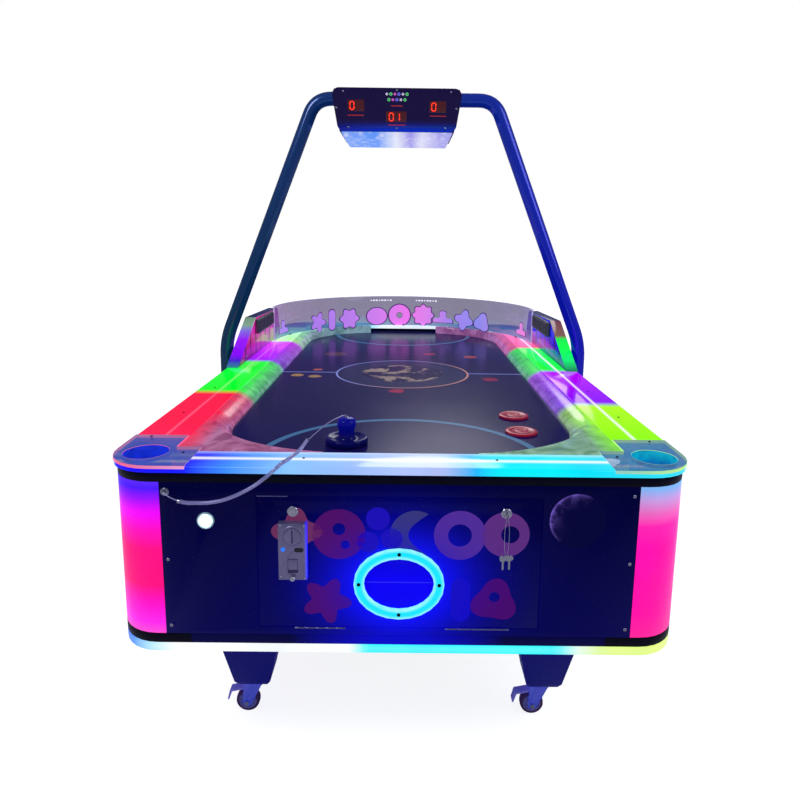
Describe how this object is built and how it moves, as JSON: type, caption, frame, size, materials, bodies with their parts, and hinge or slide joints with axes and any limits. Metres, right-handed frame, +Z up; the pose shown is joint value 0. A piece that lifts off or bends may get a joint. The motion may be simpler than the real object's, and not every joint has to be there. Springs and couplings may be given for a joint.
{
  "type": "air hockey table",
  "caption": "Air hockey table with a lit cabinet on castors, coin door, puck outlets, corner cups, overhead scoreboard on a tube arch and a clear curved end screen.",
  "frame": {"origin": "on the floor under the middle of the table", "axes": "+X to the right seen from the coin door, +Y away from the coin door along the table, +Z up"},
  "size_m": [1.412, 2.3646, 1.78],
  "materials": {
    "black_board": "gloss black printed acrylic over board",
    "black_trim": "satin black edging",
    "lit_acrylic": "milky acrylic lit from behind by colour-changing strips",
    "clear_bank": "milky formed plastic lit from the side",
    "clear_acrylic": "clear polished acrylic",
    "play_laminate": "dark blue printed laminate",
    "plain_wood": "bare board",
    "sheet_metal": "galvanised sheet",
    "bright_steel": "bright plated steel",
    "arch_paint": "blue gloss paint",
    "black_case": "black satin paint",
    "lamp_diffuser": "white diffuser, lit",
    "leg_paint": "dark blue satin paint",
    "castor_tyre": "smooth moulded tread",
    "brake_plastic": "moulded pedal",
    "mallet_plastic": "polished blue plastic",
    "puck_plastic": "red plastic",
    "button_lens": "white lit lens"
  },
  "bodies": {
    "table": {"front_panel": "black_board", "rear_panel": "black_board", "left_side_panel": "black_board", "right_side_panel": "black_board", "base_board": "black_trim", "top_frame": "black_trim", "front_goal_chute": "black_trim", "rear_goal_chute": "black_trim", "bottom_light_strip": "lit_acrylic", "front_rail": "lit_acrylic", "rear_rail": "lit_acrylic", "left_rail": "lit_acrylic", "right_rail": "lit_acrylic", "front_left_corner_light": "lit_acrylic", "front_right_corner_light": "lit_acrylic", "rear_left_corner_light": "lit_acrylic", "rear_right_corner_light": "lit_acrylic", "left_bank": "clear_bank", "right_bank": "clear_bank", "end_screen": "clear_acrylic", "front_left_corner_plate": "clear_acrylic", "front_right_corner_plate": "clear_acrylic", "rear_left_corner_plate": "clear_acrylic", "rear_right_corner_plate": "clear_acrylic", "playfield": "play_laminate", "air_plenum": "plain_wood", "blower_housing": "sheet_metal", "power_box": "sheet_metal", "cash_box": "sheet_metal", "tether": "bright_steel", "arch_tube": "arch_paint", "scoreboard_case": "black_case", "left_wing": "black_case", "right_wing": "black_case", "scoreboard_lamp": "lamp_diffuser", "front_left_leg": "leg_paint", "front_right_leg": "leg_paint", "rear_left_leg": "leg_paint", "rear_right_leg": "leg_paint"},
    "door": {"service_door": "black_board", "outlet_rim": "lit_acrylic", "coin_acceptor": "bright_steel"},
    "left_lock": {"left_lock": "bright_steel"},
    "right_lock": {"right_lock": "bright_steel"},
    "coin_flap": {"coin_return_flap": "bright_steel"},
    "start_button": {"start_button": "button_lens"},
    "impeller": {"blower_impeller": "bright_steel"},
    "mallet": {"mallet": "mallet_plastic"},
    "puck_1": {"puck_1": "puck_plastic"},
    "puck_2": {"puck_2": "puck_plastic"},
    "front_left_castor": {"front_left_castor_fork": "bright_steel"},
    "front_left_wheel": {"front_left_castor_wheel": "castor_tyre"},
    "front_right_castor": {"front_right_castor_fork": "bright_steel"},
    "front_right_wheel": {"front_right_castor_wheel": "castor_tyre"},
    "rear_left_castor": {"rear_left_castor_fork": "bright_steel"},
    "rear_left_wheel": {"rear_left_castor_wheel": "castor_tyre"},
    "rear_right_castor": {"rear_right_castor_fork": "bright_steel"},
    "rear_right_wheel": {"rear_right_castor_wheel": "castor_tyre"},
    "front_left_pedal": {"front_left_brake_pedal": "brake_plastic"},
    "front_right_pedal": {"front_right_brake_pedal": "brake_plastic"}
  },
  "joints": [
    {"name": "door_hinge", "type": "hinge", "parent": "table", "child": "door", "pos_m": [0, -1.162, 0.405], "axis": [1, 0, 0], "range_deg": [0, 90]},
    {"name": "left_lock_turn", "type": "hinge", "parent": "door", "child": "left_lock", "pos_m": [-0.231, -1.162, 0.679], "axis": [0, -1, 0], "range_deg": [0, 90]},
    {"name": "right_lock_turn", "type": "hinge", "parent": "door", "child": "right_lock", "pos_m": [0.231, -1.162, 0.679], "axis": [0, 1, 0], "range_deg": [0, 90]},
    {"name": "coin_flap_swing", "type": "hinge", "parent": "door", "child": "coin_flap", "pos_m": [-0.231, -1.1773, 0.571], "axis": [1, 0, 0], "range_deg": [0, 40]},
    {"name": "start_button_press", "type": "slide", "parent": "table", "child": "start_button", "axis": [0, 1, 0], "range_m": [0, 0.003], "stiffness_N_per_m": 400},
    {"name": "impeller_spin", "type": "hinge", "parent": "table", "child": "impeller", "pos_m": [0, 0.2, 0.5097], "axis": [0, 1, 0], "continuous": true},
    {"name": "mallet_slide", "type": "slide", "parent": "table", "child": "mallet", "axis": [0, 1, 0], "range_m": [0, 0.3]},
    {"name": "puck_1_slide", "type": "slide", "parent": "table", "child": "puck_1", "axis": [1, 0, 0], "range_m": [-0.35, 0.07]},
    {"name": "puck_2_slide", "type": "slide", "parent": "table", "child": "puck_2", "axis": [0, 1, 0], "range_m": [0, 1.2]},
    {"name": "front_left_swivel", "type": "hinge", "parent": "table", "child": "front_left_castor", "pos_m": [-0.382, -0.915, 0.06], "axis": [0, 0, 1], "continuous": true},
    {"name": "front_left_roll", "type": "hinge", "parent": "front_left_castor", "child": "front_left_wheel", "pos_m": [-0.404, -0.915, 0.03123], "axis": [0, 1, 0], "continuous": true},
    {"name": "front_right_swivel", "type": "hinge", "parent": "table", "child": "front_right_castor", "pos_m": [0.382, -0.915, 0.06], "axis": [0, 0, 1], "continuous": true},
    {"name": "front_right_roll", "type": "hinge", "parent": "front_right_castor", "child": "front_right_wheel", "pos_m": [0.36, -0.915, 0.03123], "axis": [0, 1, 0], "continuous": true},
    {"name": "rear_left_swivel", "type": "hinge", "parent": "table", "child": "rear_left_castor", "pos_m": [-0.382, 0.915, 0.06], "axis": [0, 0, 1], "continuous": true},
    {"name": "rear_left_roll", "type": "hinge", "parent": "rear_left_castor", "child": "rear_left_wheel", "pos_m": [-0.404, 0.915, 0.03123], "axis": [0, 1, 0], "continuous": true},
    {"name": "rear_right_swivel", "type": "hinge", "parent": "table", "child": "rear_right_castor", "pos_m": [0.382, 0.915, 0.06], "axis": [0, 0, 1], "continuous": true},
    {"name": "rear_right_roll", "type": "hinge", "parent": "rear_right_castor", "child": "rear_right_wheel", "pos_m": [0.36, 0.915, 0.03123], "axis": [0, 1, 0], "continuous": true},
    {"name": "front_left_brake", "type": "hinge", "parent": "front_left_castor", "child": "front_left_pedal", "pos_m": [-0.412, -0.915, 0.069], "axis": [0, -1, 0], "range_deg": [0, 15]},
    {"name": "front_right_brake", "type": "hinge", "parent": "front_right_castor", "child": "front_right_pedal", "pos_m": [0.352, -0.915, 0.069], "axis": [0, -1, 0], "range_deg": [0, 15]}
  ]
}
